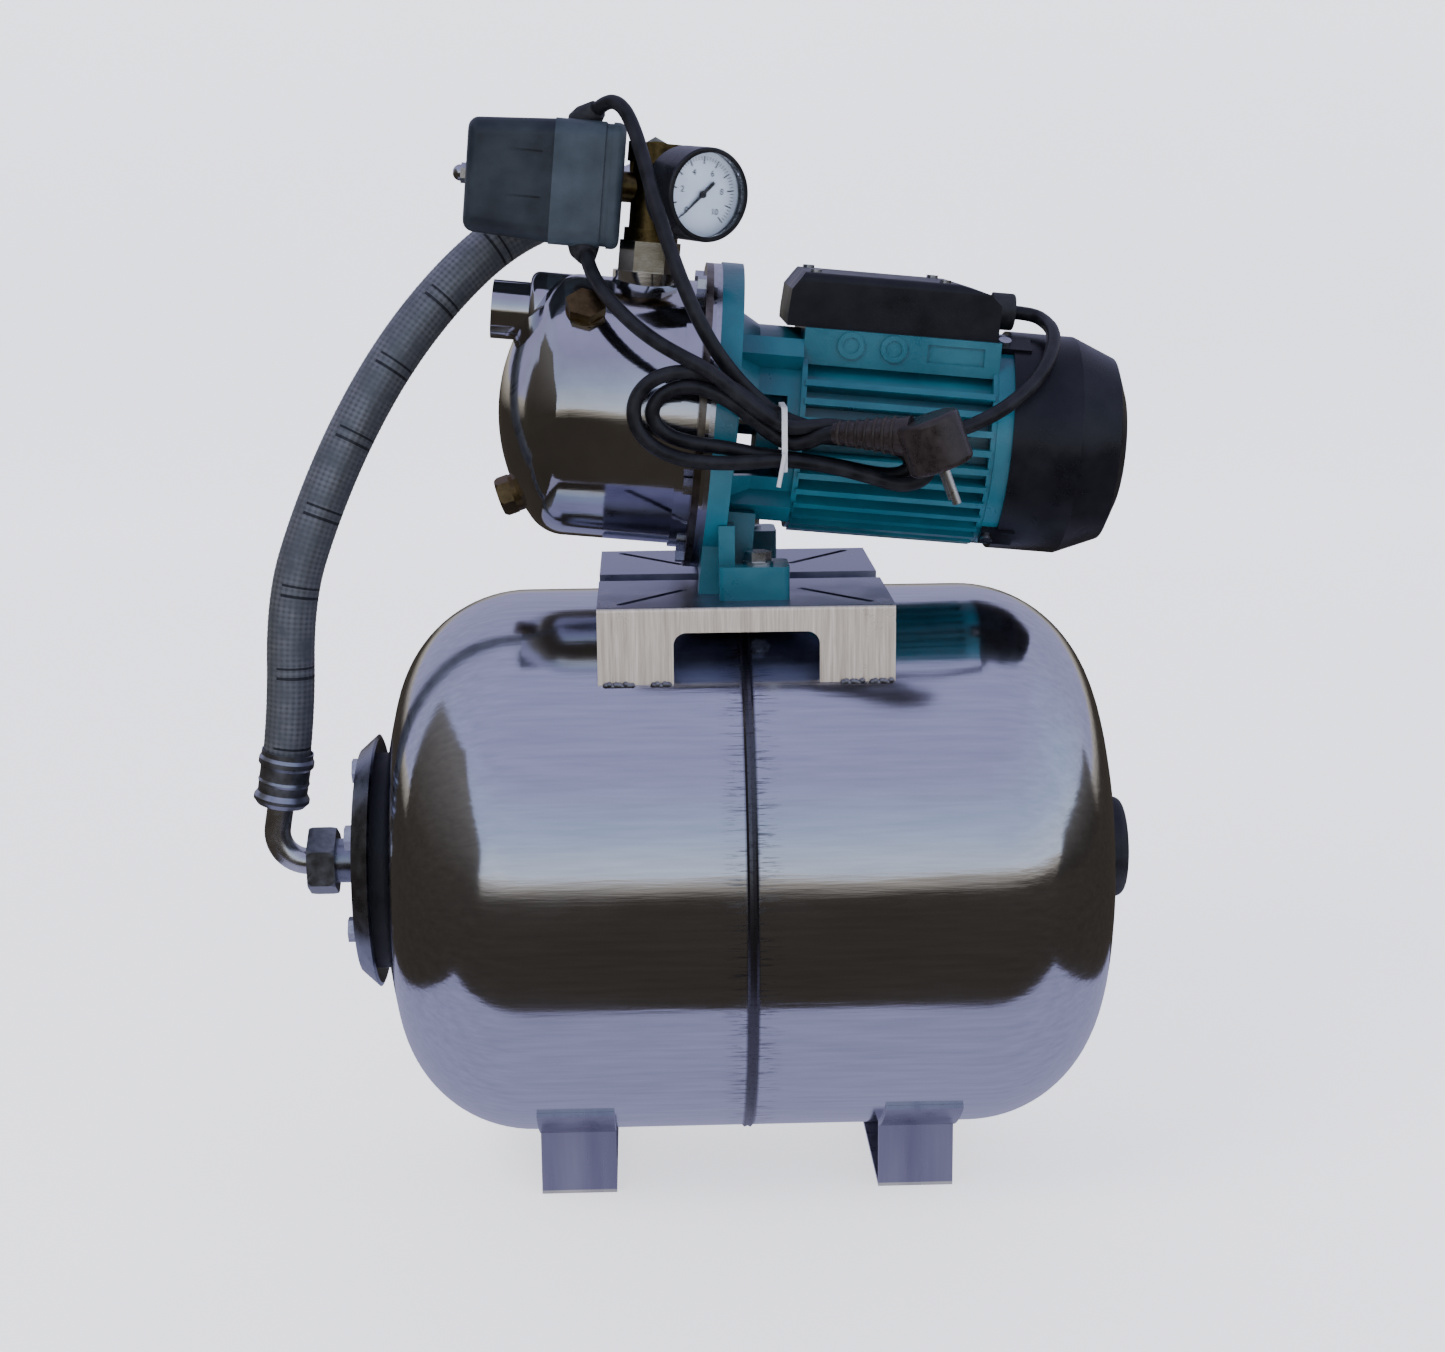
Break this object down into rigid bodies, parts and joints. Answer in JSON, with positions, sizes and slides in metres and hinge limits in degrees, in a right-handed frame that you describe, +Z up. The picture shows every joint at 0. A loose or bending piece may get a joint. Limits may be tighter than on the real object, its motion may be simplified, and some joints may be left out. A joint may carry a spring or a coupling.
{
  "type": "shallow well jet pump",
  "caption": "Shallow well jet pump with finned motor, on a horizontal pressure tank, with pressure switch, gauge and braided hose.",
  "frame": {"origin": "on the floor, in the middle of the four foot holes", "axes": "+X along the tank towards its air valve, +Y to the back, +Z up"},
  "size_m": [0.5174, 0.3226, 0.6294],
  "materials": {
    "tank_steel": "polished stainless sheet",
    "casing_steel": "polished stainless pressing",
    "plain_steel": "zinc plated",
    "sheet_steel": "brushed sheet",
    "hose_braid": "woven wire braid",
    "brass": "dark cast brass",
    "teal_paint": "satin enamel",
    "black_plastic": "fine grained",
    "switch_plastic": "slate grey, satin",
    "lead_pvc": "satin cable sheath",
    "seal_rubber": "matt",
    "resin": "moulded resin",
    "windings": "varnished copper",
    "dial_white": "printed dial",
    "dial_glass": "clear",
    "tie_grey": "soft plastic over wire"
  },
  "bodies": {
    "set": {"air_valve_cap": "black_plastic", "braided_hose": "hose_braid", "cable_glands": "seal_rubber", "cable_tie": "tie_grey", "capacitor": "resin", "casing_bolts": "plain_steel", "casing_clamp_ring": "plain_steel", "casing_o_ring": "seal_rubber", "casing_plugs": "brass", "diffuser": "resin", "ejector": "resin", "fan_cover": "black_plastic", "five_way_fitting": "brass", "foot_left": "sheet_steel", "foot_right": "sheet_steel", "gauge_case": "black_plastic", "gauge_dial": "dial_white", "gauge_lens": "dial_glass", "hex_nipple": "brass", "hose_elbows": "casing_steel", "hose_ferrules": "plain_steel", "hose_union_nuts": "plain_steel", "mains_hank": "lead_pvc", "mains_lead": "lead_pvc", "mains_plug": "lead_pvc", "motor_bearings": "plain_steel", "motor_bracket": "teal_paint", "motor_housing": "teal_paint", "motor_lead": "lead_pvc", "motor_screws": "plain_steel", "pump_casing": "casing_steel", "pump_foot_bolts": "plain_steel", "pump_plate_back": "sheet_steel", "pump_plate_front": "sheet_steel", "rear_end_shield": "teal_paint", "seal_plate": "casing_steel", "stator_core": "plain_steel", "stator_windings": "windings", "suction_stub": "casing_steel", "switch_base": "switch_plastic", "switch_cap_nut": "plain_steel", "switch_cover": "switch_plastic", "switch_diaphragm": "seal_rubber", "switch_spring_post": "plain_steel", "tank_collar": "black_plastic", "tank_flange": "plain_steel", "tank_flange_bolts": "plain_steel", "tank_membrane": "seal_rubber", "tank_shell_left": "tank_steel", "tank_shell_right": "tank_steel", "terminal_box_base": "black_plastic", "terminal_box_cover": "black_plastic"},
    "rotor": {"motor_shaft": "plain_steel", "rotor_core": "plain_steel", "impeller": "brass", "cooling_fan": "black_plastic", "seal_head": "resin"},
    "needle": {"gauge_needle": "black_plastic"},
    "piston": {"switch_piston": "resin"},
    "lever": {"switch_lever": "plain_steel"}
  },
  "joints": [
    {"name": "rotor_spin", "type": "hinge", "parent": "set", "child": "rotor", "pos_m": [0, 0, 0.4474], "axis": [0.9956, 0, -0.0941], "continuous": true},
    {"name": "gauge_swing", "type": "hinge", "parent": "set", "child": "needle", "pos_m": [-0.02159, -0.04244, 0.575], "axis": [0.4978, -0.866, -0.0471], "range_deg": [-270, 0], "stiffness_Nm_per_rad": 0.0005},
    {"name": "piston_slide", "type": "slide", "parent": "set", "child": "piston", "axis": [-0.9956, 0, 0.0941], "range_m": [0, 0.0015], "stiffness_N_per_m": 2000},
    {"name": "lever_tilt", "type": "hinge", "parent": "set", "child": "lever", "pos_m": [-0.0809, 0, 0.55851], "axis": [0, -1, 0], "range_deg": [0, 4]}
  ],
  "couplings": [
    {"joint": "lever_tilt", "follows": "piston_slide", "rad_per_m": 45.455}
  ]
}
